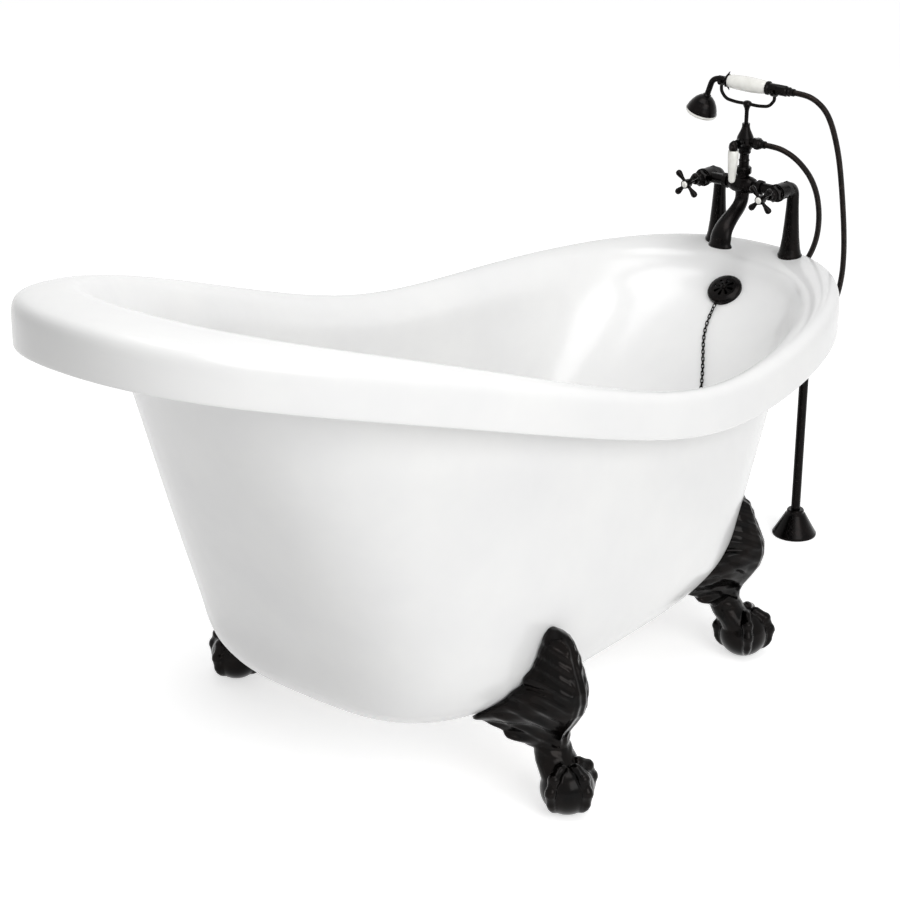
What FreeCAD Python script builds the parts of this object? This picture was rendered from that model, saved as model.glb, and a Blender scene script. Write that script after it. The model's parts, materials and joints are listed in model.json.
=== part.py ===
import FreeCAD, Part
import math
import os

# A slipper bathtub on four claw feet, with a tap set on its foot-end deck.
# Millimetres. +X runs from the high head end to the tap end, +Y to the far side, +Z up.
# Everything is drawn about the middle of the tub, with the floor at zero, and is moved
# along X once at the end, so that the origin is under the middle of the whole object.

# ---- tub -------------------------------------------------------------------------
tub_half_length = 850.0
tub_half_width = 360.0
rim_head_exponent = 2.376
rim_foot_exponent = 2.413
# Height of the rim's top at seven stations along the tub
rim_stations = [-850.0, -600.0, -350.0, -100.0, 150.0, 450.0, 850.0]
rim_heights = [880.0, 811.0, 732.0, 647.5, 581.0, 567.0, 573.0]
shell_wall = 9.0
lip_height = 72.0
lip_wall = 10.0
wall_top_drop = 43.0
crest_inset = 18.0
crease_inset_head = 104.0
crease_inset_side = 33.5
crease_inset_foot = 92.0
wall_inset_head = 163.5
wall_inset_side = 51.0
wall_inset_foot = 100.0
base_head_length = 447.0
base_foot_length = 485.5
base_half_width = 301.5
base_exponent = 3.454
base_height = 128.5
base_corner = 128.0
head_wall_power = 0.87
foot_wall_power = 0.78
side_wall_power = 1.829
poles_per_quarter = 16

# ---- feet ------------------------------------------------------------------------
ball_radius = 42.0
ball_flat_depth = 2.0
foot_height = 285.0
leaf_edge = 9.0
leaf_back = -50.0
head_foot_x = -199.0
head_foot_y = 341.0
head_foot_turn = 10.0
end_foot_x = 410.0
end_foot_y = 261.0
end_foot_turn = 30.0
toe_radius = 9.0
toe_angles = [-52.0, 0.0, 52.0, 180.0]
block_thickness = 18.0
block_length = 70.0
block_width = 46.0
bolt_radius = 4.0
bolt_head_flats = 13.0
bolt_head_height = 5.5
flange_thickness = 9.0
# Outer end of each block, inward of the ball's middle, and the width of the lug under it
block_front = -142.0
lug_width = 34.0

# ---- waste and overflow ----------------------------------------------------------
drain_x = 280.0
# The chain's lie: offset from the middle and height down the foot-end wall, then along the base
chain_on_wall = [(-1.0, 474.0), (-4.0, 462.0), (-10.0, 448.0), (-22.0, 428.0), (-38.0, 402.0),
                 (-52.0, 374.0), (-62.0, 344.0), (-66.0, 312.0), (-65.0, 280.0), (-63.0, 258.0),
                 (-61.0, 240.0)]
chain_on_base = [(452.0, -57.0, 64.0), (440.0, -50.0, 38.0), (420.0, -40.0, 16.0), (388.0, -29.0, 2.0),
                 (352.0, -15.0, 0.0)]
chain_ride = 3.8
# Then outward of the drain's middle and above the floor of the tub, up to the stopper's ring
chain_on_drain = [(49.0, 3.8), (42.0, 5.2), (35.0, 8.0), (28.0, 10.6), (21.0, 13.2), (14.5, 14.9)]
stopper_top = 6.5
stopper_ring_radius = 5.0
ring_wire = 1.0
drain_hole_radius = 26.0
drain_flange_radius = 36.0
drain_flange_thickness = 3.0
drain_throat_radius = 20.0
drain_gasket_thickness = 3.0
shoe_radius = 31.0
shoe_depth = 52.0
waste_tube_radius = 19.0
waste_tube_wall = 1.5
tube_stop = 1.0
overflow_z = 512.0
overflow_plate_radius = 31.0
overflow_plate_dish = 9.0
overflow_seat = 2.5
eye_radius = 2.4
overflow_hole_radius = 24.0
elbow_depth = 44.0
# Its flange is wider than the hole, and stops short of the inner face; its bore stops short of its back
elbow_flange = 10.0
elbow_short = 3.5
elbow_back = 4.0
# How far the overflow plate's rim reaches into the wall before it is cut to it
rim_depth = 5.0
overflow_slots = 8
chain_wire_radius = 0.9
chain_link_length = 11.0
chain_link_width = 6.4
chain_slack = 0.12
stopper_radius = 19.3
slip_nut_flats = 50.0
slip_nut_width = 16.0

# ---- tap set ---------------------------------------------------------------------
leg_spacing = 152.0
leg_x = 797.0
deck_hole_radius = 14.0
deck_washer_radius = 19.5
deck_nut_flats = 34.0
deck_nut_height = 9.0
washer_depth = 22.0
union_gap = 16.0
barrel_length = 27.0
barrel_bore = 8.0
bonnet_length = 24.0
neck_up = 19.0
neck_down = 17.0
shank_radius = 10.5
shank_bore = 7.0
shank_drop = 66.0
leg_base_radius = 21.5
leg_top_radius = 10.5
tap_axis_height = 129.0
tap_body_x = 752.0
elbow_bend = 17.0
valve_radius = 14.5
bridge_radius = 9.5
bridge_centre_radius = 15.0
handle_reach = 108.0
cross_arm_reach = 29.0
spindle_radius = 4.0
running_clearance = 0.05
column_radius = 9.0
diverter_rise = 77.0
diverter_radius = 15.5
lever_reach = 37.0
lever_length = 58.0
cradle_rise = 144.0
handset_rise = 178.0
cradle_half_span = 54.0
grip_half_length = 38.0
grip_radius = 13.5
handset_tube_radius = 6.5
ferrule_radius = 9.5
connector_length = 32.5
ferrule_end = 60.0
bell_radius = 27.5
bell_tilt = 18.6
rest_gap = 0.3
stem_radius = 3.6
lever_spindle_radius = 3.2
hose_nut_end = 41.0
spout_reach = 64.0
spout_drop = 98.0

# ---- supply ----------------------------------------------------------------------
supply_x = 889.0
supply_y = 68.0
supply_radius = 8.5
supply_wall = 1.2
supply_bend_low = 330.0
escutcheon_radius = 41.0
escutcheon_height = 50.0
collar_radius = 16.0

# ---- hose ------------------------------------------------------------------------
hose_radius = 5.2
hose_bore_radius = 4.0
hose_ribs = 200
hose_rib_depth = 0.5
# The free part of the hose's route, from the handset down behind the tub and back to the
# diverter, chosen by hand along its hang; its two ends are worked out from the fittings
hose_hang = [
    (756.0, -133.0, 870.0), (765.0, -147.0, 854.0), (777.0, -153.0, 831.0), (794.0, -154.0, 799.0),
    (813.0, -153.0, 759.0), (831.0, -150.0, 714.0), (849.0, -146.0, 667.0), (866.0, -142.0, 618.0),
    (883.0, -136.0, 566.0), (899.0, -126.0, 514.0), (912.0, -109.0, 461.0), (920.0, -80.0, 409.0),
    (924.0, -40.0, 363.0), (924.0, 8.0, 327.0), (922.0, 60.0, 302.0), (919.0, 112.0, 292.0),
    (916.0, 158.0, 304.0), (913.0, 184.0, 338.0), (911.0, 180.0, 380.0), (910.0, 148.0, 410.0),
    (909.0, 104.0, 428.0), (907.0, 58.0, 447.0), (903.0, 12.0, 471.0), (896.0, -30.0, 503.0),
    (886.0, -63.0, 542.0), (871.0, -86.0, 587.0), (851.0, -100.0, 634.0), (829.0, -106.0, 680.0),
    (807.0, -105.0, 715.0), (787.0, -99.0, 740.0), (769.0, -91.0, 759.0), (757.0, -78.0, 771.0)]
hose_straight = 22.0

# ---- worked out ------------------------------------------------------------------
leg_y = leg_spacing / 2
whole_middle_x = (supply_x + escutcheon_radius - tub_half_length) / 2
handle_x = leg_x - handle_reach
made = {}
connector_end = ferrule_end + connector_length + rest_gap


def vec(x, y, z):
    return FreeCAD.Vector(x, y, z)


X = vec(1, 0, 0)
Y = vec(0, 1, 0)
Z = vec(0, 0, 1)


def rod(radius, length, base, axis=Z):
    return Part.makeCylinder(radius, length, base, axis)


def ring(outer, inner, length, base, axis=Z):
    return rod(outer, length, base, axis).cut(rod(inner, length, base, axis))


def fuse(shapes):
    whole = shapes[0].multiFuse(shapes[1:]) if len(shapes) > 1 else shapes[0]
    return whole.removeSplitter()


def stand(shape, base, axis):
    """Turns a shape drawn along +Z so that it runs along axis from base."""
    standing = shape.copy()
    standing.Placement = FreeCAD.Placement(base, FreeCAD.Rotation(Z, axis)).multiply(shape.Placement)
    return standing


def turned(profile, base=vec(0, 0, 0), axis=Z, smooth=False):
    """A solid turned from (radius, height) points; its ends are flat on the axis."""
    points = [vec(r, 0, z) for r, z in profile]
    if smooth:
        curve = Part.BSplineCurve()
        curve.interpolate(points)
        edges = [curve.toShape()]
    else:
        edges = [Part.makeLine(a, b) for a, b in zip(points, points[1:])]
    top = vec(0, 0, points[-1].z)
    bottom = vec(0, 0, points[0].z)
    if points[-1].x > 1e-6:
        edges.append(Part.makeLine(points[-1], top))
    edges.append(Part.makeLine(top, bottom))
    if points[0].x > 1e-6:
        edges.append(Part.makeLine(bottom, points[0]))
    face = Part.Face(Part.Wire(edges))
    return stand(face.revolve(vec(0, 0, 0), Z, 360), base, axis)


def prism(sides, flats, length, base, axis=Z):
    """A nut or bolt head: a regular prism measured across its flats."""
    reach = flats / 2 / math.cos(math.pi / sides)
    corners = [vec(reach * math.cos(2 * math.pi * k / sides), reach * math.sin(2 * math.pi * k / sides), 0)
               for k in range(sides + 1)]
    solid = Part.Face(Part.makePolygon(corners)).extrude(vec(0, 0, length))
    bevel = Part.makeCone(reach, reach - length * 0.25, length * 0.25, vec(0, 0, length * 0.75))
    blank = fuse([rod(reach, length * 0.75, vec(0, 0, 0)), bevel])
    return stand(solid.common(blank), base, axis)


def tapered(stations):
    """A loft through ovals, each (centre, first axis, second axis, first half, second half)."""
    wires = []
    for centre, first, second, a, b in stations:
        circle = []
        for k in range(17):
            angle = 2 * math.pi * k / 16
            circle.append(centre + first * (a * math.cos(angle)) + second * (b * math.sin(angle)))
        curve = Part.BSplineCurve()
        curve.interpolate(circle[:-1], PeriodicFlag=True)
        wires.append(Part.Wire(curve.toShape()))
    return Part.makeLoft(wires, True, False)


def rounded_path(points, bend=None):
    """Straight runs joined by tangent arcs, each as large as its two runs allow."""
    pts = [vec(*p) for p in points]
    edges = []
    start = pts[0]
    used = []
    for k in range(1, len(pts) - 1):
        back = pts[k - 1] - pts[k]
        ahead = pts[k + 1] - pts[k]
        turn = math.pi - back.getAngle(ahead)
        tangent = 0.45 * min(back.Length, ahead.Length)
        if bend:
            tangent = bend * math.tan(turn / 2)
        used.append(tangent / math.tan(turn / 2))
        back.normalize()
        ahead.normalize()
        enter = pts[k] + back * tangent
        leave = pts[k] + ahead * tangent
        bisector = back + ahead
        bisector.normalize()
        middle = pts[k] + bisector * (used[-1] / math.cos(turn / 2) - used[-1])
        edges.append(Part.LineSegment(start, enter).toShape())
        edges.append(Part.Arc(enter, middle, leave).toShape())
        start = leave
    edges.append(Part.LineSegment(start, pts[-1]).toShape())
    return Part.Wire(edges), used


def pipe(points, radius, bend=None, bore=0.0):
    """A round tube along a path of runs and arcs."""
    path = rounded_path(points, bend)[0]
    first = path.Edges[0].Vertexes[0].Point
    direction = path.Edges[0].tangentAt(path.Edges[0].FirstParameter)
    solid = path.makePipe(Part.Face(Part.Wire(Part.makeCircle(radius, first, direction))))
    if bore:
        solid = solid.cut(path.makePipe(Part.Face(Part.Wire(Part.makeCircle(bore, first, direction)))))
    return solid


def keep(name, shape):
    made[name] = shape


def both_sides(left_name, right_name, shape):
    """Keeps a piece drawn on the far side (+Y), and its mirror on the near side."""
    keep(left_name, shape)
    keep(right_name, shape.mirror(vec(0, 0, 0), Y))


# ---- tub shell -------------------------------------------------------------------
def rim_height(x):
    """A natural cubic through the rim stations."""
    n = len(rim_stations)
    gaps = [rim_stations[k + 1] - rim_stations[k] for k in range(n - 1)]
    slopes = [(rim_heights[k + 1] - rim_heights[k]) / gaps[k] for k in range(n - 1)]
    lower = [0.0] * n
    diagonal = [1.0] * n
    upper = [0.0] * n
    right = [0.0] * n
    for k in range(1, n - 1):
        lower[k] = gaps[k - 1]
        diagonal[k] = 2 * (gaps[k - 1] + gaps[k])
        upper[k] = gaps[k]
        right[k] = 6 * (slopes[k] - slopes[k - 1])
    for k in range(1, n):
        factor = lower[k] / diagonal[k - 1]
        diagonal[k] -= factor * upper[k - 1]
        right[k] -= factor * right[k - 1]
    bend = [0.0] * n
    bend[-1] = right[-1] / diagonal[-1]
    for k in range(n - 2, -1, -1):
        bend[k] = (right[k] - upper[k] * bend[k + 1]) / diagonal[k]
    x = min(max(x, rim_stations[0]), rim_stations[-1])
    k = max(i for i in range(n - 1) if rim_stations[i] <= x)
    t = x - rim_stations[k]
    h = gaps[k]
    linear = slopes[k] - h * (2 * bend[k] + bend[k + 1]) / 6
    return rim_heights[k] + linear * t + bend[k] * t * t / 2 + (bend[k + 1] - bend[k]) * t ** 3 / (6 * h)


def quarter(a, b, n):
    """Evenly spaced points of one quarter of an oval, from (a, 0) up to (0, b)."""
    fine = 160
    points = []
    for k in range(fine + 1):
        t = math.pi / 2 * k / fine
        points.append((a * math.cos(t) ** (2 / n) if k < fine else 0.0, b * math.sin(t) ** (2 / n)))
    travel = [0.0]
    for p, q in zip(points, points[1:]):
        travel.append(travel[-1] + math.dist(p, q))
    even = []
    k = 0
    for i in range(poles_per_quarter + 1):
        target = travel[-1] * i / poles_per_quarter
        while k < fine - 1 and travel[k + 1] < target:
            k += 1
        share = (target - travel[k]) / (travel[k + 1] - travel[k])
        even.append((points[k][0] + share * (points[k + 1][0] - points[k][0]),
                     points[k][1] + share * (points[k + 1][1] - points[k][1])))
    return even


def oval(head, foot, side, n_head, n_foot):
    """A closed row of points, anticlockwise from the foot end."""
    front = quarter(foot, side, n_foot)
    back = quarter(head, side, n_head)
    row = [(x, y) for x, y in front[:-1]]
    row += [(-x, y) for x, y in reversed(back)][:-1]
    row += [(-x, -y) for x, y in back[:-1]]
    row += [(x, -y) for x, y in reversed(front)][:-1]
    return row


outline = oval(tub_half_length, tub_half_length, tub_half_width, rim_head_exponent, rim_foot_exponent)


def blend(x, head, side, foot):
    share = (x / tub_half_length) ** 2
    return side + ((foot if x > 0 else head) - side) * share


def rim_row(inset, drop):
    """A row of the rolled rim; inset and drop are (head, side, foot)."""
    row = oval(tub_half_length - inset[0], tub_half_length - inset[2], tub_half_width - inset[1],
               rim_head_exponent, rim_foot_exponent)
    return [vec(x, y, rim_height(out[0]) - blend(out[0], *drop)) for (x, y), out in zip(row, outline)]


def wall_plan(s, inward):
    """The wall's plan at depth s, from 0 under the rim to 1 where the base corner starts."""
    head_top = tub_half_length - wall_inset_head
    foot_top = tub_half_length - wall_inset_foot
    side_top = tub_half_width - wall_inset_side
    head = head_top + (base_head_length - head_top) * s ** head_wall_power
    foot = foot_top + (base_foot_length - foot_top) * s ** foot_wall_power
    side = side_top + (base_half_width - side_top) * s ** side_wall_power
    n_head = rim_head_exponent + (base_exponent - rim_head_exponent) * s
    n_foot = rim_foot_exponent + (base_exponent - rim_foot_exponent) * s
    return oval(head - inward, foot - inward, side - inward, n_head, n_foot)


def wall_row(s, inward):
    bottom = base_height + base_corner
    row = []
    for x, y in wall_plan(s, inward):
        top = rim_height(x) - wall_top_drop
        row.append(vec(x, y, top + (bottom - top) * s))
    return row


def corner_row(angle, inward):
    """A row of the rounded base corner, angle 0 at the wall and 90 on the flat base."""
    radius = base_corner - inward
    into = inward + radius * (1 - math.cos(math.radians(angle)))
    plan = oval(base_head_length - into, base_foot_length - into, base_half_width - into,
                base_exponent, base_exponent)
    z = base_height + base_corner - radius * math.sin(math.radians(angle))
    return [vec(x, y, z) for x, y in plan]


def flat_row(extra, inward):
    into = base_corner + extra
    plan = oval(base_head_length - into, base_foot_length - into, base_half_width - into,
                base_exponent, base_exponent)
    return [vec(x, y, base_height + inward) for x, y in plan]


wall_depths = [0.0, 0.07, 0.15, 0.25, 0.37, 0.5, 0.63, 0.76, 0.88]
corner_angles = [0.0, 20.0, 38.0, 56.0, 74.0, 90.0]
foot_hull_depths = [d for d in wall_depths if d >= 0.25]


def skin_solid(rows):
    """A closed solid whose side is one smooth closed surface; its first and last rows are flat."""
    count = len(rows[0])
    surface = Part.BSplineSurface()
    poles = [[row[k] for row in rows] for k in range(count)]
    across = len(rows)
    surface.buildFromPolesMultsKnots(
        poles, [1] * (count + 1), [4] + [1] * (across - 4) + [4],
        list(range(count + 1)), list(range(across - 2)), True, False, 3, 3)
    side = surface.toShape()
    rims = [e for e in side.Edges if e.BoundBox.ZLength < 1e-6]
    caps = [Part.Face(Part.Wire([e])) for e in rims]
    closed = Part.makeShell([side] + caps)
    closed.sewShape()
    solid = Part.makeSolid(closed)
    if solid.Volume < 0:
        solid.reverse()
    return solid


def tub_shell():
    lip = lip_height
    rows = [flat_row(28.0, shell_wall), flat_row(10.0, shell_wall)]
    rows += [corner_row(a, shell_wall) for a in reversed(corner_angles)]
    rows += [wall_row(s, shell_wall) for s in reversed(wall_depths)]
    head = crease_inset_head
    side = crease_inset_side
    foot = crease_inset_foot
    rows.append(rim_row((head + 22, side + 12, foot + 8), (20, 18, 22)))
    rows.append(rim_row((head, side, foot), (6, 6, 9)))
    rows.append(rim_row((head * 0.62, side * 0.75, foot * 0.62), (0.5, 0.5, 2)))
    rows.append(rim_row((crest_inset + 6, crest_inset, crest_inset + 8), (0, 0, 0)))
    rows.append(rim_row((9, 9, 9), (2.5, 2.5, 2.5)))
    rows.append(rim_row((2.5, 2.5, 2.5), (10, 10, 10)))
    for share in (0.3, 0.45, 0.62, 0.78, 0.9):
        rows.append(rim_row((0, 0, 0), (lip * share,) * 3))
    rows.append(rim_row((0, 0, 0), (lip * 0.99,) * 3))
    rows.append(rim_row((2.5, 2.5, 2.5), (lip + 1.5,) * 3))
    rows.append(rim_row((lip_wall - 2.5,) * 3, (lip + 1.5,) * 3))
    rows.append(rim_row((lip_wall,) * 3, (lip * 0.97,) * 3))
    for share in (0.8, 0.6, 0.42):
        rows.append(rim_row((lip_wall,) * 3, (lip * share,) * 3))
    rows.append(rim_row((lip_wall + 3,) * 3, (19, 19, 19)))
    rows.append(rim_row((26, 22, 28), (13, 14, 13)))
    rows.append(rim_row((70, 32, 60), (14, 18, 15)))
    rows.append(rim_row((112, 42, 84), (22, 27, 22)))
    rows += [wall_row(s, 0) for s in wall_depths]
    rows += [corner_row(a, 0) for a in corner_angles]
    rows += [flat_row(10.0, 0), flat_row(28.0, 0)]
    return skin_solid(rows)


def base_hull():
    """The solid tub below mid-depth, which the feet are cut to."""
    first = wall_row(foot_hull_depths[0], 0)
    rows = [[vec(p.x, p.y, rim_heights[0] + rise) for p in first] for rise in (20.0, -80.0)]
    rows += [wall_row(s, 0) for s in foot_hull_depths]
    rows += [corner_row(a, 0) for a in corner_angles]
    rows += [flat_row(10.0, 0), flat_row(28.0, 0)]
    return skin_solid(rows)


whole_shell = tub_shell()
hull = base_hull()
floor_top = base_height + shell_wall
deck_z = rim_height(leg_x) - 2.0
tap_z = deck_z + tap_axis_height

# ---- feet ------------------------------------------------------------------------
# Drawn at the ball, with out (u) away from the tub, along (v) beside it and z up
foot_sections = [
    # height share, out, half out, half along
    (0.66, -10.0, 34.0, 30.0), (0.55, -16.0, 33.0, 31.0), (0.45, -26.0, 31.0, 30.0),
    (0.36, -31.0, 29.0, 30.0), (0.29, -26.0, 30.0, 31.0), (0.22, -12.0, 33.0, 35.0),
    (0.14, -2.0, 34.0, 36.0)]
# The leaf that spreads from the knee over the corner of the base, to a point on each side
leaf_sections = [
    # height share, its ridge out, shoulder along and out, edge along and out
    (0.995, -6.0, 15.0, -12.0, 20.0, -30.0), (0.92, 4.0, 24.0, -8.0, 27.0, -32.0),
    (0.867, 9.0, 27.0, -4.0, 31.0, -35.0), (0.79, 19.0, 30.0, 1.0, 45.0, -40.0),
    (0.715, 25.0, 33.0, 5.0, 52.0, -45.0), (0.667, 27.0, 34.0, 5.0, 71.0, -54.0),
    (0.59, 21.0, 33.0, -1.0, 85.0, -70.0), (0.526, 9.0, 31.0, -8.0, 93.0, -96.0),
    (0.46, -1.0, 29.0, -14.0, 66.0, -76.0), (0.407, -3.0, 27.0, -18.0, 58.0, -62.0),
    (0.352, -5.0, 24.0, -22.0, 34.0, -48.0)]


def foot_at(x, y, turn):
    angle = math.radians(-90 + turn)
    out = vec(math.cos(angle), math.sin(angle), 0)
    along = vec(-math.sin(angle), math.cos(angle), 0)
    centre = vec(x, -y, 0)

    def at(u, v, z):
        return centre + out * u + along * v + Z * z

    leg = tapered([(at(u, 0, share * foot_height), out, along, a, b) for share, u, a, b in foot_sections])
    ball_z = ball_radius - ball_flat_depth
    ball = Part.makeSphere(ball_radius, at(0, 0, ball_z))
    pieces = [leg, ball]
    for toe in toe_angles:
        side = math.radians(toe)
        heading = out * math.cos(side) + along * math.sin(side)
        across = along * math.cos(side) - out * math.sin(side)
        stations = []
        for tilt, size, lift in ((64, 0.9, 1.5), (46, 1.1, 2.0), (26, 1.0, 2.5), (6, 1.05, 3.0),
                                 (-14, 0.9, 2.0), (-32, 0.6, 0.5), (-46, 0.3, -1.0)):
            t = math.radians(tilt)
            radial = heading * math.cos(t) + Z * math.sin(t)
            spot = at(0, 0, ball_z) + radial * (ball_radius + lift)
            stations.append((spot, radial, across, size * toe_radius, size * toe_radius))
        pieces.append(tapered(stations))
    rings = []
    for share, ridge, shoulder_v, shoulder_u, edge_v, edge_u in leaf_sections:
        half = [(ridge + 2, 0.3 * shoulder_v), (shoulder_u + 3, shoulder_v), (edge_u + 2, edge_v),
                (edge_u, edge_v + 3), (edge_u - leaf_edge, edge_v)]
        row = half + [(min(edge_u, leaf_back) - 14, 0.4 * edge_v)]
        row += [(u, -v) for u, v in reversed(row)]
        rings.append([at(u, v, share * foot_height) for u, v in row])
    leaf = solids_of(skin_solid(rings).cut(hull))[0]
    under = Part.makeBox(4 * ball_radius, 4 * ball_radius, ball_radius, at(0, 0, -ball_radius / 2))
    under.translate(vec(-2 * ball_radius, -2 * ball_radius, -ball_radius / 2))
    claw = solids_of(fuse(pieces).cut(under))[0]
    foot = solids_of(claw.fuse(leaf))[0].cut(hull)
    return solids_of(foot)[0], at, out


def solids_of(shape):
    return sorted(shape.Solids, key=lambda s: -s.Volume)


def foot_set():
    bolts = []
    blocks = []
    feet = (("foot_head_near", "foot_head_far", head_foot_x, head_foot_y, -head_foot_turn),
            ("foot_end_near", "foot_end_far", end_foot_x, end_foot_y, end_foot_turn))
    for near, far, x, y, turn in feet:
        foot, at, out = foot_at(x, y, turn)
        # A laminated block under the flat base, a lug of the bracket under it, and one bolt up into it
        u = block_front - block_width / 2
        middle = at(u, 0, base_height - block_thickness)
        block = Part.makeBox(block_width, block_length, block_thickness)
        block.translate(vec(-block_width / 2, -block_length / 2, 0))
        block.Placement = FreeCAD.Placement(middle, FreeCAD.Rotation(X, out)).multiply(block.Placement)
        lug_z = base_height - block_thickness - flange_thickness
        lug = Part.makeBox(block_width / 2 - u + leaf_back, lug_width, flange_thickness)
        lug.translate(vec(-block_width / 2, -lug_width / 2, 0))
        lug.Placement = FreeCAD.Placement(at(u, 0, lug_z), FreeCAD.Rotation(X, out)).multiply(lug.Placement)
        foot = foot.cut(block)
        foot = fuse([foot, lug])
        spot = at(u, 0, 0)
        hole = rod(bolt_radius + 0.5, flange_thickness, vec(spot.x, spot.y, lug_z))
        foot = solids_of(foot.cut(hole))[0]
        top = base_height - 4.0
        shaft = rod(bolt_radius, top - lug_z, vec(spot.x, spot.y, lug_z))
        head = prism(6, bolt_head_flats, bolt_head_height, vec(spot.x, spot.y, lug_z), vec(0, 0, -1))
        bolt = fuse([shaft, head])
        block = block.cut(rod(bolt_radius, top - lug_z, vec(spot.x, spot.y, lug_z)))
        both_sides(far, near, foot.mirror(vec(0, 0, 0), Y))
        for piece, group in ((bolt, bolts), (block, blocks)):
            group.append(piece)
            group.append(piece.mirror(vec(0, 0, 0), Y))
    keep("foot_bolts", Part.makeCompound(bolts))
    keep("foot_mounting_blocks", Part.makeCompound(blocks))


foot_set()

# ---- waste: drain, shoe, tube, overflow ------------------------------------------
shoe_top = base_height - drain_gasket_thickness
waste_z = shoe_top - shoe_depth + waste_tube_radius + 3


def wall_x(z, inward):
    """Where the foot-end wall crosses the middle plane at a height, by its own rows."""
    low, high = 0.0, 1.0
    for _ in range(40):
        s = (low + high) / 2
        foot_top = tub_half_length - wall_inset_foot
        x = foot_top + (base_foot_length - foot_top) * s ** foot_wall_power - inward
        top = rim_height(x) - wall_top_drop
        if top + (base_height + base_corner - top) * s > z:
            low = s
        else:
            high = s
    return x


overflow_x = wall_x(overflow_z, shell_wall)
# The overflow stands square to the wall, whose slope is taken across the plate's inner half
wall_run = wall_x(overflow_z + overflow_plate_radius / 2, shell_wall)
wall_run -= wall_x(overflow_z - overflow_plate_radius / 2, shell_wall)
overflow_tilt = math.degrees(math.atan(wall_run / overflow_plate_radius))
overflow_in = vec(-math.cos(math.radians(overflow_tilt)), 0, math.sin(math.radians(overflow_tilt)))
overflow_at = vec(overflow_x, 0, overflow_z)
waste_x = overflow_x + 44.0


def pierced(whole):
    """The shell with the holes for its drain, its overflow and the two tap legs."""
    holes = [rod(drain_hole_radius, 60, vec(drain_x, 0, base_height - 20)),
             rod(overflow_hole_radius, 60, overflow_at - overflow_in * 30, overflow_in)]
    holes += [rod(deck_hole_radius, 60, vec(leg_x, side * leg_y, deck_z - 40)) for side in (-1, 1)]
    return whole.cut(Part.makeCompound(holes))


shell = pierced(whole_shell)
keep("tub_shell", shell)


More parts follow.
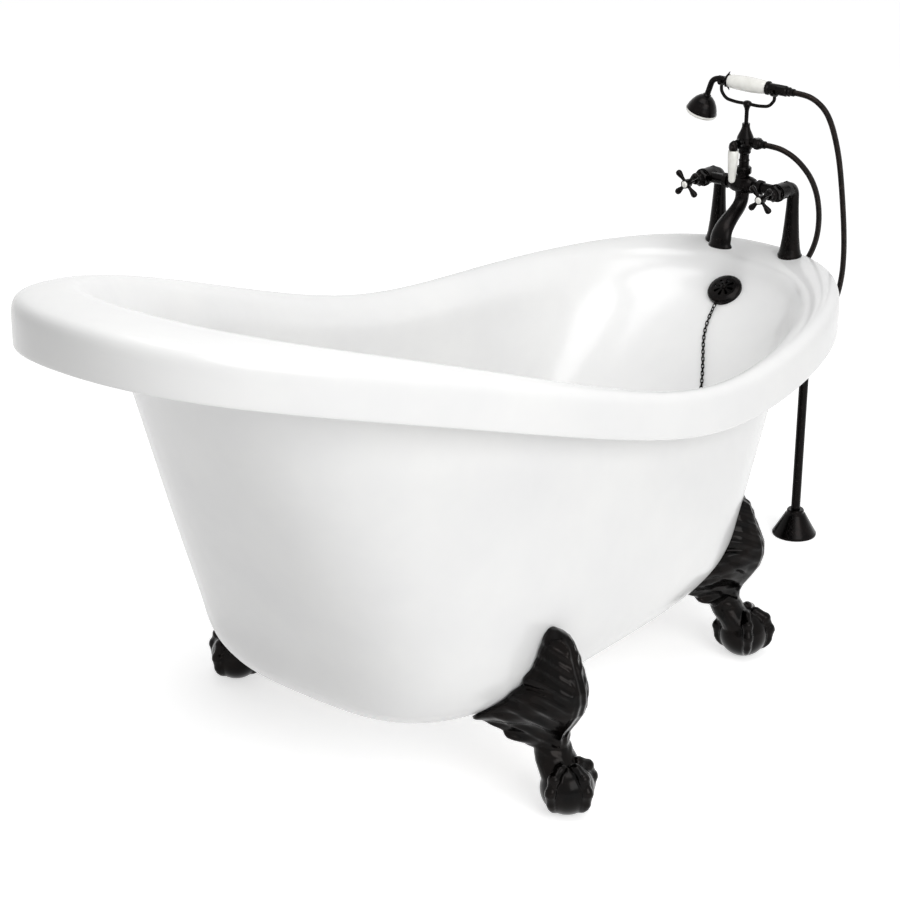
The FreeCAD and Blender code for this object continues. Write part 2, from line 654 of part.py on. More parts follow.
def waste_set():
    throat_bottom = shoe_top - 20.0
    # Strainer flange: a dished ring with a crossbar, screwed down through the floor
    flange = turned([(drain_throat_radius, throat_bottom), (drain_hole_radius - 0.5, throat_bottom),
                     (drain_hole_radius - 0.5, floor_top), (drain_flange_radius, floor_top),
                     (drain_flange_radius - 1, floor_top + 1.5),
                     (drain_flange_radius - 5, floor_top + drain_flange_thickness),
                     (drain_throat_radius + 3, floor_top + drain_flange_thickness),
                     (drain_throat_radius, floor_top + 0.5)], vec(drain_x, 0, 0))
    flange = flange.cut(rod(drain_throat_radius, 80, vec(drain_x, 0, throat_bottom - 10)))
    bars = []
    for angle in (0, 90):
        bar = Part.makeBox(drain_throat_radius * 2 + 2, 3, 4, vec(-drain_throat_radius - 1, -1.5, 0))
        bar.rotate(vec(0, 0, 0), Z, angle)
        bar.translate(vec(drain_x, 0, throat_bottom + 4))
        bars.append(bar)
    flange = fuse([flange] + bars)
    keep("drain_flange", flange)
    keep("drain_gasket", ring(shoe_radius, drain_hole_radius, drain_gasket_thickness,
                              vec(drain_x, 0, shoe_top)))
    # Shoe: a cup under the floor, turning the flow along the tub to the tee
    cup = rod(shoe_radius, shoe_depth, vec(drain_x, 0, shoe_top - shoe_depth))
    socket_radius = waste_tube_radius + 4
    socket = rod(socket_radius, 44, vec(drain_x, 0, waste_z), X)
    cup = fuse([cup, socket])
    cup = cup.cut(rod(drain_hole_radius - 0.5, 30, vec(drain_x, 0, shoe_top - 20)))
    cup = cup.cut(rod(shoe_radius - 5, shoe_depth - 24, vec(drain_x, 0, shoe_top - shoe_depth + 4)))
    cup = cup.cut(rod(waste_tube_radius - waste_tube_wall, 60, vec(drain_x, 0, waste_z), X))
    tube_start = drain_x + 32.0
    cup = cup.cut(rod(waste_tube_radius, 20, vec(tube_start, 0, waste_z), X))
    keep("drain_shoe", cup)
    tee_half = 34.0
    tube_end = waste_x - tee_half + 12
    keep("waste_tube", ring(waste_tube_radius, waste_tube_radius - waste_tube_wall,
                            tube_end - tube_start, vec(tube_start, 0, waste_z), X))
    # Tee under the overflow, and the tail that drops to the floor
    tee = fuse([rod(socket_radius, tee_half * 2, vec(waste_x, 0, waste_z - tee_half + 4)),
                rod(socket_radius, tee_half, vec(waste_x, 0, waste_z), vec(-1, 0, 0))])
    inner = waste_tube_radius - waste_tube_wall
    tee = tee.cut(rod(inner - tube_stop, 200, vec(waste_x, 0, waste_z - 100)))
    tee = tee.cut(rod(inner - tube_stop, 60, vec(waste_x, 0, waste_z), vec(-1, 0, 0)))
    tee = tee.cut(rod(waste_tube_radius, 60, vec(tube_end, 0, waste_z), vec(-1, 0, 0)))
    tail_top = waste_z - tee_half + 4 + 12
    rise_bottom = waste_z + tee_half + 4 - 12
    tee = tee.cut(rod(waste_tube_radius, 60, vec(waste_x, 0, tail_top), vec(0, 0, -1)))
    tee = tee.cut(rod(waste_tube_radius, 60, vec(waste_x, 0, rise_bottom)))
    keep("waste_tee", tee)
    keep("waste_tailpiece", ring(waste_tube_radius, inner, tail_top, vec(waste_x, 0, 0)))
    # Overflow: the elbow outside the wall, and its pipe down to the tee
    elbow_z = overflow_z
    body = rod(overflow_hole_radius + elbow_flange, elbow_depth - elbow_short,
               overflow_at - overflow_in * elbow_depth, overflow_in)
    neck = rod(socket_radius, 44, vec(waste_x, 0, elbow_z - 62))
    bend = Part.makeSphere(socket_radius, vec(waste_x, 0, elbow_z - 18))
    cavity = fuse([rod(inner, elbow_depth, overflow_at - overflow_in * (elbow_depth - elbow_back),
                       overflow_in),
                   rod(inner, 60, vec(waste_x, 0, elbow_z - 70))])
    elbow = fuse([body, neck, bend]).cut(cavity)
    pipe_top = elbow_z - 62 + 12
    elbow = elbow.cut(rod(waste_tube_radius, 60, vec(waste_x, 0, pipe_top), vec(0, 0, -1)))
    elbow = elbow.cut(shell)
    keep("overflow_elbow", solids_of(elbow)[0])
    keep("overflow_tube", ring(waste_tube_radius, inner, pipe_top - rise_bottom,
                               vec(waste_x, 0, rise_bottom)))


waste_set()


overflow_base = overflow_at + overflow_in * overflow_seat
overflow_down = overflow_in.cross(Y)
eye_at = overflow_base + overflow_down * (overflow_plate_radius + 0.2 + eye_radius) + overflow_in * 1.6


def overflow_trim():
    """The pierced plate over the overflow, its screw, the eye and the chain to the stopper."""
    base = overflow_base
    radius = overflow_plate_radius
    # Its rim runs on into the curved wall, which it is then cut to
    plate = turned([(0, 1.0), (radius - 3, 1.0), (radius - 3, -rim_depth), (radius, -rim_depth),
                    (radius, 3.0), (radius - 2, 5.5), (radius - 8, 7.5),
                    (radius * 0.45, overflow_plate_dish - 1), (0, overflow_plate_dish)], base, overflow_in)
    screw_radius = 4.5
    cuts = [stand(rod(2.6, 30, vec(0, 0, -5)), base, overflow_in)]
    for k in range(overflow_slots):
        angle = 360.0 * k / overflow_slots
        inner = 8.0
        outer = 18.0
        petal = fuse([rod(1.3, 30, vec(inner, 0, -5)), rod(2.9, 30, vec(outer - 2, 0, -5)),
                      Part.Face(Part.makePolygon([vec(inner, -1.3, -5), vec(outer - 2, -2.9, -5),
                                                  vec(outer - 2, 2.9, -5), vec(inner, 1.3, -5),
                                                  vec(inner, -1.3, -5)])).extrude(vec(0, 0, 30))])
        petal.rotate(vec(0, 0, 0), Z, angle)
        cuts.append(stand(petal, base, overflow_in))
    hollow = turned([(0, 1.0), (radius - 3.5, 1.0), (radius - 8, 5.0), (0, 6.2)], base, overflow_in)
    for cutter in cuts + [hollow]:
        plate = plate.cut(cutter)
    eye = Part.makeTorus(eye_radius, chain_wire_radius, eye_at, Y)
    keep("overflow_plate", solids_of(plate.cut(shell))[0].fuse(eye))
    screw = turned([(0, -34), (2.5, -34), (2.5, overflow_plate_dish), (screw_radius, overflow_plate_dish),
                    (screw_radius, overflow_plate_dish + 1.2),
                    (screw_radius - 1.8, overflow_plate_dish + 2.6), (0, overflow_plate_dish + 2.9)],
                   base, overflow_in)
    slot = Part.makeBox(20, 1.2, 3, vec(-10, -0.6, overflow_plate_dish + 1.6))
    keep("overflow_screw", screw.cut(stand(slot, base, overflow_in)))


overflow_trim()


def slip_nuts():
    bore = waste_tube_radius
    spots = [(vec(drain_x + 44, 0, waste_z), X), (vec(waste_x - 34, 0, waste_z), vec(-1, 0, 0)),
             (vec(waste_x, 0, waste_z + 38), Z), (vec(waste_x, 0, waste_z - 30), vec(0, 0, -1)),
             (vec(waste_x, 0, overflow_z - 62), vec(0, 0, -1))]
    nuts = [prism(8, slip_nut_flats, slip_nut_width, at, axis).cut(rod(bore, slip_nut_width, at, axis))
            for at, axis in spots]
    keep("waste_slip_nuts", Part.makeCompound(nuts))
    keep("waste_escutcheon", turned([(bore, 0), (34, 0), (34, 1.5), (30, 5), (22.5, 11), (bore, 12)],
                                    vec(waste_x, 0, 0)).cut(rod(bore, 20, vec(waste_x, 0, 0))))


slip_nuts()


# ---- stopper and chain -----------------------------------------------------------
def inner_wall(y, z):
    """A point on the foot-end inner wall at a given offset from the middle and height."""
    low, high = 0.0, 1.0
    x = 0.0
    for _ in range(40):
        s = (low + high) / 2
        foot_top = tub_half_length - wall_inset_foot
        side_top = tub_half_width - wall_inset_side
        foot = foot_top + (base_foot_length - foot_top) * s ** foot_wall_power - shell_wall
        side = side_top + (base_half_width - side_top) * s ** side_wall_power - shell_wall
        n = rim_foot_exponent + (base_exponent - rim_foot_exponent) * s
        x = foot * (1 - (abs(y) / side) ** n) ** (1 / n)
        top = rim_height(x) - wall_top_drop
        if top + (base_height + base_corner - top) * s > z:
            low = s
        else:
            high = s
    return vec(x, y, z)


def off_shell(x, y, z, gap):
    """The point a gap inside the shell's surface, nearest to a rough point inside the tub."""
    rough = vec(x, y, z)
    on_skin = shell.distToShape(Part.Vertex(rough))[1][0][0]
    return on_skin + (rough - on_skin).normalize() * gap


def chain_link(centre, along, turn):
    """One racetrack link of round wire along the chain; at turn 0 it lies across the tub."""
    half = chain_link_length / 2 - chain_link_width / 2
    arc = chain_link_width / 2 - chain_wire_radius
    top = Part.Arc(vec(arc, 0, half), vec(0, 0, half + arc), vec(-arc, 0, half)).toShape()
    low = Part.Arc(vec(-arc, 0, -half), vec(0, 0, -half - arc), vec(arc, 0, -half)).toShape()
    path = Part.Wire([Part.makeLine(vec(arc, 0, -half), vec(arc, 0, half)), top,
                      Part.makeLine(vec(-arc, 0, half), vec(-arc, 0, -half)), low])
    section = Part.Wire(Part.makeCircle(chain_wire_radius, vec(arc, 0, 0), Z))
    link = path.makePipeShell([section], True, False)
    link.rotate(vec(0, 0, 0), Z, turn)
    across = Y - along * along.dot(Y)
    across.normalize()
    lie = FreeCAD.Placement(centre, FreeCAD.Rotation(across, Y, along, "ZXY"))
    link.Placement = lie.multiply(link.Placement)
    return link


def stopper_set():
    seat = floor_top + drain_flange_thickness
    edge = stopper_radius + 3.0
    stopper = turned([(0, seat - 12), (stopper_radius - 1.6, seat - 12), (stopper_radius - 0.4, seat - 1),
                      (edge, seat + rest_gap), (edge, seat + 3.5), (stopper_radius, seat + 5.5),
                      (4, seat + stopper_top), (0, seat + stopper_top)], vec(drain_x, 0, 0))
    post = turned([(0, seat + stopper_top), (2.6, seat + stopper_top), (2.6, seat + stopper_top + 6.1),
                   (0, seat + stopper_top + 6.1)], vec(drain_x, 0, 0))
    post = post.cut(rod(ring_wire + 0.8, 10, vec(drain_x - 5, 0, seat + stopper_top + 3.0), X))
    centre = vec(drain_x, 0, seat + stopper_top + 2.6 + stopper_ring_radius)
    keep("stopper_plug", stopper)
    keep("stopper_post", post)
    keep("stopper_ring", Part.makeTorus(stopper_ring_radius, ring_wire, centre, Y))
    return centre


def chain_set(ring_centre):
    end_wire = chain_link_length / 2 - chain_wire_radius
    guide = [off_shell(inner_wall(y, z).x - 14, y, z + 8, chain_ride) for y, z in chain_on_wall]
    hang = guide[0] - eye_at
    hang.normalize()
    guide.insert(0, eye_at + hang * (eye_radius + end_wire - 2 * chain_wire_radius - rest_gap))
    for x, y, z in chain_on_base:
        guide.append(off_shell(x, y, floor_top + z + 14, chain_ride))
    for out, rise in chain_on_drain:
        guide.append(vec(drain_x + out, 0, floor_top + rise))
    heading = vec(1, 0, -0.15)
    heading.normalize()
    hooked = stopper_ring_radius + end_wire - ring_wire - chain_wire_radius - rest_gap
    guide.append(ring_centre + heading * hooked)
    curve = Part.BSplineCurve()
    curve.interpolate(guide)
    length = curve.length()
    pitch = chain_link_length - 4 * chain_wire_radius - chain_slack
    # An even number of steps, so that the first and last links both lie across the tub
    count = 2 * math.ceil(length / pitch / 2)
    links = []
    for k in range(count + 1):
        u = curve.parameterAtDistance(min(length, k * length / count))
        lean = 45 * min(k, count - k, 4) / 4
        links.append(chain_link(curve.value(u), curve.tangent(u)[0], lean + 90 * (k % 2)))
    keep("chain", Part.makeCompound(links))


chain_set(stopper_set())


# ---- tap set ---------------------------------------------------------------------
def tap_leg():
    at = vec(leg_x, leg_y, 0)
    top = tap_z - elbow_bend
    leg = turned([(leg_base_radius - 0.5, deck_z - 9), (leg_base_radius - 0.5, deck_z + 1.5),
                  (leg_base_radius, deck_z + 2.5), (leg_base_radius, deck_z + 4.5),
                  (leg_base_radius - 1.6, deck_z + 7), (leg_base_radius - 3.7, deck_z + 16),
                  (leg_base_radius - 6.3, deck_z + 36), (leg_base_radius - 8.4, deck_z + 62),
                  (leg_top_radius + 0.8, top - 22), (leg_top_radius, top)], at)
    bend_path = Part.Wire(Part.Arc(vec(leg_x, leg_y, top),
                                   vec(leg_x - elbow_bend * (1 - math.sqrt(0.5)), leg_y,
                                       top + elbow_bend * math.sqrt(0.5)),
                                   vec(leg_x - elbow_bend, leg_y, tap_z)).toShape())
    section = Part.Face(Part.Wire(Part.makeCircle(leg_top_radius, vec(leg_x, leg_y, top), Z)))
    elbow = bend_path.makePipe(section)
    bore = bend_path.makePipe(Part.Face(Part.Wire(Part.makeCircle(shank_bore, vec(leg_x, leg_y, top), Z))))
    stub_end = leg_x - elbow_bend - union_gap
    stub = rod(leg_top_radius, leg_x - elbow_bend - stub_end, vec(stub_end, leg_y, tap_z), X)
    band = ring(leg_top_radius + 1.6, leg_top_radius - 1, 3, vec(leg_x - elbow_bend - 3, leg_y, tap_z), X)
    shank = rod(shank_radius, shank_drop + 12, vec(leg_x, leg_y, deck_z - shank_drop))
    leg = fuse([solids_of(leg.cut(whole_shell))[0], shank, elbow, stub, band])
    leg = leg.cut(rod(shank_bore, top - deck_z + shank_drop, vec(leg_x, leg_y, deck_z - shank_drop)))
    leg = leg.cut(bore).cut(rod(shank_bore, leg_x - elbow_bend - stub_end, vec(stub_end, leg_y, tap_z), X))
    both_sides("tap_leg_far", "tap_leg_near", leg)
    # A washer cut to the underside of the deck, and a nut under it
    flat = deck_z - washer_depth
    washer = rod(deck_washer_radius, washer_depth, vec(leg_x, leg_y, flat))
    washer = washer.cut(whole_shell).cut(rod(shank_radius, washer_depth, vec(leg_x, leg_y, flat)))
    washer = [s for s in washer.Solids if s.BoundBox.ZMin < flat + 0.1][0]
    nut = prism(6, deck_nut_flats, deck_nut_height, vec(leg_x, leg_y, flat - deck_nut_height))
    nut = nut.cut(rod(shank_radius, deck_nut_height, vec(leg_x, leg_y, flat - deck_nut_height)))
    keep("deck_washers", Part.makeCompound([washer, washer.mirror(vec(0, 0, 0), Y)]))
    keep("deck_nuts", Part.makeCompound([nut, nut.mirror(vec(0, 0, 0), Y)]))
    union = prism(6, 27, union_gap - 4, vec(stub_end, leg_y, tap_z), X).cut(
        rod(leg_top_radius, union_gap, vec(stub_end, leg_y, tap_z), X))
    keep("leg_union_nuts", Part.makeCompound([union, union.mirror(vec(0, 0, 0), Y)]))
    return stub_end


barrel_back = tap_leg()
barrel_front = barrel_back - barrel_length
diverter_z = tap_z + diverter_rise
cradle_z = tap_z + cradle_rise
handset_z = tap_z + handset_rise
West = vec(-1, 0, 0)
South = vec(0, -1, 0)


def bridge():
    centre = vec(tap_body_x, 0, tap_z)
    barrel = rod(valve_radius, barrel_back - barrel_front, vec(barrel_front, leg_y, tap_z), X)
    rim = ring(valve_radius + 1.4, valve_radius - 1, 4, vec(barrel_front + 3, leg_y, tap_z), X)
    pieces = [barrel, barrel.mirror(vec(0, 0, 0), Y), rim, rim.mirror(vec(0, 0, 0), Y),
              rod(bridge_radius, leg_spacing, vec(tap_body_x, -leg_y, tap_z), Y),
              turned([(bridge_radius, -24), (bridge_centre_radius - 2, -22), (bridge_centre_radius, -16),
                      (bridge_centre_radius + 1.5, -6), (bridge_centre_radius + 1.5, 6),
                      (bridge_centre_radius, 16), (bridge_centre_radius - 2, 22), (bridge_radius, 24)],
                     centre, Y),
              rod(12.5, neck_down, vec(tap_body_x, 0, tap_z - neck_down)),
              rod(10.5, neck_up, centre)]
    body = fuse(pieces)
    holes = [rod(barrel_bore, 40, vec(barrel_front - 5, leg_y, tap_z), X),
             rod(barrel_bore, 40, vec(barrel_front - 5, -leg_y, tap_z), X),
             rod(6.5, leg_spacing, vec(tap_body_x, -leg_y, tap_z), Y),
             rod(6.5, neck_up + 1, centre),
             rod(9.5, neck_down + 1, vec(tap_body_x, 0, tap_z - neck_down - 1))]
    for hole in holes:
        body = body.cut(hole)
    keep("bridge_body", body)
    nut_width = 10.0
    nuts = [prism(8, 25, nut_width, vec(tap_body_x, y, tap_z), Y).cut(
        rod(bridge_radius, nut_width, vec(tap_body_x, y, tap_z), Y)) for y in (30.0, -30.0 - nut_width)]
    keep("bridge_nuts", Part.makeCompound(nuts))


def valves():
    front = vec(barrel_front, leg_y, tap_z)
    bonnet = fuse([prism(6, 25, 9, front, West),
                   turned([(11, 9), (11.5, 11), (9.5, 15), (7.5, 17), (7.5, bonnet_length - 2),
                           (6.5, bonnet_length)], front, West)])
    bonnet = bonnet.cut(rod(spindle_radius + running_clearance, bonnet_length + 1, front, West))
    both_sides("bonnet_far", "bonnet_near", bonnet)
    hub_back = handle_x + 9
    hub_front = handle_x - 7
    spindle_end = handle_x - 1
    spindle = rod(spindle_radius, barrel_front + 5 - spindle_end, vec(spindle_end, leg_y, tap_z), X)
    both_sides("spindle_far", "spindle_near", spindle)
    hub = turned([(6.2, -9), (7.6, -7), (8.0, -3), (8.0, 4), (7.4, 6), (7.4, 7)],
                 vec(handle_x, leg_y, tap_z), West)
    arm = turned([(3.4, 4.0), (3.0, 10), (3.6, 14), (5.0, 19), (5.8, 23.5), (4.8, 27), (2.6, 28.6),
                  (0.0, cross_arm_reach)], smooth=False)
    arms = []
    for k in range(4):
        angle = math.radians(45 + 90 * k)
        arms.append(stand(arm, vec(handle_x, leg_y, tap_z), vec(0, math.cos(angle), math.sin(angle))))
    cross = fuse([hub] + arms)
    cross = cross.cut(rod(spindle_radius, hub_back - spindle_end + 1, vec(spindle_end, leg_y, tap_z), X))
    cross = cross.cut(rod(5.8, 3, vec(hub_front + 1.5, leg_y, tap_z), West))
    both_sides("cross_handle_far", "cross_handle_near", cross)
    button = turned([(5.8, 0), (5.8, 1.8), (4.6, 3.0), (2.4, 3.6), (0, 3.8)],
                    vec(hub_front + 1.5, leg_y, tap_z), West)
    both_sides("button_far", "button_near", button)


spout_path = [
    # out, down, lean from straight down, half across, half deep
    (0, neck_down, 0, 12.0, 12.0), (2, neck_down + 11, 20, 12.0, 12.0), (9, neck_down + 21, 48, 12.5, 12.0),
    (22, neck_down + 30, 60, 13.5, 12.0), (38, neck_down + 39, 58, 15.5, 12.0),
    (52, neck_down + 49, 40, 17.5, 12.0), (60, neck_down + 59, 16, 19.0, 12.0),
    (63, neck_down + 69, 3, 20.0, 12.0), (spout_reach, neck_down + 76, 0, 20.5, 12.5),
    (spout_reach, spout_drop - 2, 0, 22.0, 14.0), (spout_reach, spout_drop + 1, 0, 22.3, 14.3)]


def spout():
    def stations(thin, run_on):
        rows = []
        for out, down, lean, a, b in spout_path:
            t = math.radians(lean)
            centre = vec(tap_body_x - out, 0, tap_z - down)
            rows.append((centre, Y, vec(math.cos(t), 0, -math.sin(t)), a - thin, b - thin))
        if run_on:
            last = rows[-1]
            rows.append((last[0] + vec(0, 0, -5), last[1], last[2], last[3], last[4]))
        return rows
    outer = tapered(stations(0, False))
    keep("spout", outer.cut(tapered(stations(2.5, True))))


def column_and_diverter():
    foot = tap_z + neck_up
    top = diverter_z - 17
    keep("column_nut", prism(8, 27, 12, vec(tap_body_x, 0, foot + 1)).cut(
        rod(column_radius, 14, vec(tap_body_x, 0, foot))))
    column = turned([(column_radius, foot), (column_radius, foot + 22), (column_radius + 0.8, foot + 24),
                     (column_radius - 0.6, foot + 27), (column_radius - 0.6, top - 6),
                     (column_radius + 2, top - 3), (column_radius + 2, top)], vec(tap_body_x, 0, 0))
    keep("column", column.cut(rod(5.5, 60, vec(tap_body_x, 0, foot - 5))))
    at = vec(tap_body_x, 0, diverter_z)
    bulb = turned([(10.5, -17), (13.2, -11), (15.2, -4), (diverter_radius, 1), (14.4, 8), (11.2, 15),
                   (8.4, 21),
                   (7.0, 26), (7.0, 32)], at)
    lever_boss = turned([(8.6, 8), (8.6, 17), (7.6, 19), (7.6, 25)], at, West)
    hose_boss = turned([(8.0, 8), (8.0, 17), (9.5, 18.5), (9.5, 21), (6.0, 22), (6.0, 24)], at, South)
    body = fuse([bulb, lever_boss, hose_boss])
    body = body.cut(rod(stem_radius + running_clearance, 24, at + vec(0, 0, 10)))
    body = body.cut(rod(lever_spindle_radius + running_clearance, 22, at + vec(-6, 0, 0), West))
    body = body.cut(rod(4.0, 26, at, South)).cut(rod(5.5, 22, at + vec(0, 0, -20)))
    keep("diverter_body", body)
    nut_at = at + vec(0, -22, 0)
    sleeve = turned([(8.5, 9), (8.5, 11), (6.8, 13), (6.8, hose_nut_end - 22)], nut_at, South)
    nut = fuse([prism(6, 19, 9, nut_at, South), sleeve])
    nut = nut.cut(rod(6.0, 2, nut_at, South)).cut(rod(4.0, 30, nut_at, South))
    keep("hose_nut_lower", nut)


def lever():
    at = vec(tap_body_x - lever_reach, 0, diverter_z)
    spindle = rod(lever_spindle_radius, lever_reach - 8, at, X)
    cap = turned([(5.5, -9), (7.6, -7.5), (8.6, -3), (7.4, 3), (4.2, 6.5), (1.8, 8.5), (0, 9)], at)
    nose = turned([(5.0, 0), (4.4, 5), (2.4, 9), (0, 12)], at + vec(-2, 0, -1), vec(-1, 0, -0.35))
    keep("lever_cap", fuse([cap, spindle, nose]).common(
        Part.makeBox(200, 200, 200, at + vec(-100, -100, -9))))
    tip = -9 - lever_length
    grip = turned([(8.4, -9), (9.4, -11), (9.5, -16), (9.2, -24), (8.2, tip + 29), (7.0, tip + 15),
                   (6.3, tip + 7), (5.4, tip + 3), (3.4, tip + 0.6), (0, tip)], at)
    keep("lever_grip", grip)


def cradle():
    at = vec(tap_body_x, 0, 0)
    stem = turned([(stem_radius, diverter_z + 12), (stem_radius, cradle_z - 14), (4.4, cradle_z - 9),
                   (6.6, cradle_z - 4), (8.4, cradle_z - 0.5), (7.4, cradle_z + 3), (3.8, cradle_z + 5),
                   (0, cradle_z + 5.6)], at)
    pieces = [stem]
    for side, radius in ((1, handset_tube_radius), (-1, ferrule_radius)):
        low = handset_z - radius - rest_gap - 2.0
        route = [(tap_body_x, 0, cradle_z), (tap_body_x, side * 22, cradle_z - 1),
                 (tap_body_x, side * 44, cradle_z + 2), (tap_body_x, side * cradle_half_span, cradle_z + 14),
                 (tap_body_x, side * cradle_half_span, low)]
        pieces.append(pipe(route, 3.0))
        hook = ring(radius + rest_gap + 3.4, radius + rest_gap, 7,
                    vec(tap_body_x, side * cradle_half_span - 3.5, handset_z), Y)
        trim = Part.makeBox(80, 20, 40, vec(tap_body_x - 40, side * cradle_half_span - 10, handset_z + 1))
        pieces.append(hook.cut(trim))
    keep("cradle", fuse(pieces))


def handset():
    at = vec(tap_body_x, 0, handset_z)
    left_end = 58.0
    tube_reach = 48.0
    keep("handset_tube", ring(5.0, 3.5, 2 * tube_reach, at + vec(0, -tube_reach, 0), Y))
    grip = turned([(10.4, -grip_half_length), (11.6, -33), (12.8, -22), (grip_radius, -8), (grip_radius, 8),
                   (12.9, 22), (11.8, 33), (10.6, grip_half_length)], at, Y, smooth=True)
    keep("handset_grip", grip.cut(rod(5.0, 100, at + vec(0, -50, 0), Y)))
    crown = turned([(8.5, grip_half_length), (11.2, grip_half_length + 1.5), (11.6, grip_half_length + 4),
                    (8.2, grip_half_length + 7), (handset_tube_radius, grip_half_length + 9),
                    (handset_tube_radius, left_end + 2)], at, Y)
    prongs = []
    for k in range(6):
        angle = math.radians(30 + 60 * k)
        out = vec(math.cos(angle), 0, math.sin(angle))
        root = at + vec(0, grip_half_length + 4, 0) + out * 9
        prongs.append(Part.makeCone(2.4, 0.4, 9.5, root, out + vec(0, -0.55, 0)))
    crown = fuse([crown] + prongs)
    grip_zone = rod(20, 12, at + vec(0, grip_half_length - 12, 0), Y)
    crown = crown.cut(grip_zone)
    crown = crown.cut(rod(5.0, tube_reach, at, Y)).cut(rod(3.5, 100, at, Y))
    keep("handset_crown", crown)
    tilt = math.radians(bell_tilt)
    down = vec(0, math.sin(tilt), -math.cos(tilt))
    corner = at + vec(0, 72, 0)
    face = corner + down * 65.0
    start = at + vec(0, left_end + 2, 0)
    bell_top = face - down * 33.0
    keep("handset_neck", pipe([tuple(start), tuple(corner), tuple(bell_top)], 5.2, 16.0, 3.5))
    bell = turned([(5.2, -33), (7.4, -31.5), (7.4, -29), (12.5, -26.5), (18, -21), (22.5, -14), (25.8, -6.5),
                   (bell_radius, 0)], face, down)
    inner = turned([(3.5, -34), (3.5, -28), (11, -24.5), (16.2, -19.2), (20.6, -12.8), (23.8, -5.8),
                    (bell_radius - 2, 0.5)], face, down)
    keep("shower_bell", bell.cut(inner))
    rim = turned([(bell_radius - 3, 0), (bell_radius + 0.6, 0), (bell_radius + 1.0, 2.6),
                  (bell_radius - 0.4, 5.2),
                  (bell_radius - 3, 5.6)], face, down).cut(rod(bell_radius - 3, 20, face - down * 5, down))
    keep("shower_face_ring", rim)
    plate = rod(bell_radius - 3, 2.0, face + down * 1.6, down)
    sets = [(0, 1), (7, 6), (14, 12), (20, 18)]
    side = X
    across = down.cross(side)
    for radius, count in sets:
        for k in range(count):
            t = 2 * math.pi * k / count
            spot = face + side * (radius * math.cos(t)) + across * (radius * math.sin(t))
            plate = plate.cut(rod(0.9, 8, spot, down))
    keep("shower_spray_plate", plate)
    ferrule = turned([(10.2, grip_half_length), (12.0, grip_half_length + 1), (12.0, grip_half_length + 4.5),
                      (ferrule_radius, grip_half_length + 7), (ferrule_radius, ferrule_end)], at, South)
    ferrule = ferrule.cut(rod(5.0, tube_reach, at, South)).cut(rod(3.5, 100, at, South))
    keep("handset_ferrule", ferrule)
    nut_at = at + South * ferrule_end
    sleeve = turned([(8.2, 22), (8.2, 24), (6.6, 25.5), (6.6, connector_length)], nut_at, South)
    nut = fuse([prism(8, 18, 22, nut_at, South), sleeve])
    keep("handset_connector", nut.cut(rod(4.0, 50, nut_at, South)))


bridge()
valves()
spout()
column_and_diverter()
lever()
cradle()
handset()


# ---- supply ----------------------------------------------------------------------
def supply():
    shank_end = deck_z - shank_drop
    route = [(supply_x, supply_y, 0), (supply_x, supply_y, supply_bend_low),
             (leg_x, leg_y, supply_bend_low + 118), (leg_x, leg_y, shank_end)]
    both_sides("supply_far", "supply_near", pipe(route, supply_radius, 42.0, supply_radius - supply_wall))
    nut = prism(6, 27, 22, vec(leg_x, leg_y, shank_end - 10))
    nut = nut.cut(rod(supply_radius, 12, vec(leg_x, leg_y, shank_end - 11)))
    nut = nut.cut(rod(shank_radius, 20, vec(leg_x, leg_y, shank_end)))
    keep("supply_nuts", Part.makeCompound([nut, nut.mirror(vec(0, 0, 0), Y)]))
    top = escutcheon_height
    wall = 3.0
    plate = turned([(supply_radius, 0), (escutcheon_radius, 0), (escutcheon_radius, 3),
                    (escutcheon_radius - 1.5, 5),
                    (collar_radius + 3, top - 9), (collar_radius, top - 7), (collar_radius, top - 2),
                    (collar_radius - 1.5, top), (supply_radius, top)], vec(supply_x, supply_y, 0))
    inside = turned([(supply_radius, -1), (escutcheon_radius - wall, -1), (escutcheon_radius - wall - 1.5, 4),
                     (collar_radius, top - 9 - wall), (supply_radius, top - 9 - wall)],
                    vec(supply_x, supply_y, 0))
    plate = plate.cut(inside).cut(rod(supply_radius, 100, vec(supply_x, supply_y, -10)))
    keep("floor_escutcheons", Part.makeCompound([plate, plate.mirror(vec(0, 0, 0), Y)]))


supply()


# ---- hose ------------------------------------------------------------------------
def hose():
    start = vec(tap_body_x, -connector_end, handset_z)
    finish = vec(tap_body_x, -hose_nut_end, diverter_z)
    lead = vec(0, -hose_straight, 0)
    route = [tuple(start), tuple(start + lead)] + hose_hang + [tuple(finish + lead), tuple(finish)]
    path = rounded_path(route)[0]
    length = path.Length
    edges = path.Edges
    starts = [0.0]
    for edge in edges:
        starts.append(starts[-1] + edge.Length)

    def circle_at(distance, radius):
        k = max(i for i in range(len(edges)) if starts[i] <= distance + 1e-9)
        u = edges[k].getParameterByLength(min(distance - starts[k], edges[k].Length))
        circle = Part.Circle()
        circle.Center = edges[k].valueAt(u)
        circle.Axis = edges[k].tangentAt(u)
        circle.XAxis = X
        circle.Radius = radius
        return Part.Wire(circle.toShape())

    end = 2 * hose_radius
    pitch = (length - 2 * end) / hose_ribs
    valley = hose_radius - hose_rib_depth
    circles = [circle_at(0.0, valley)]
    for k in range(hose_ribs):
        rib = end + k * pitch
        for share, radius in ((0.08, valley), (0.22, hose_radius), (0.78, hose_radius), (0.92, valley)):
            circles.append(circle_at(rib + share * pitch, radius))
    circles.append(circle_at(length, valley))
    outside = Part.makeLoft(circles, True, True)
    begin = edges[0].valueAt(edges[0].FirstParameter)
    heading = edges[0].tangentAt(edges[0].FirstParameter)
    bore = path.makePipe(Part.Face(Part.Wire(Part.makeCircle(hose_bore_radius, begin, heading))))
    keep("hose", outside.cut(bore))


hose()

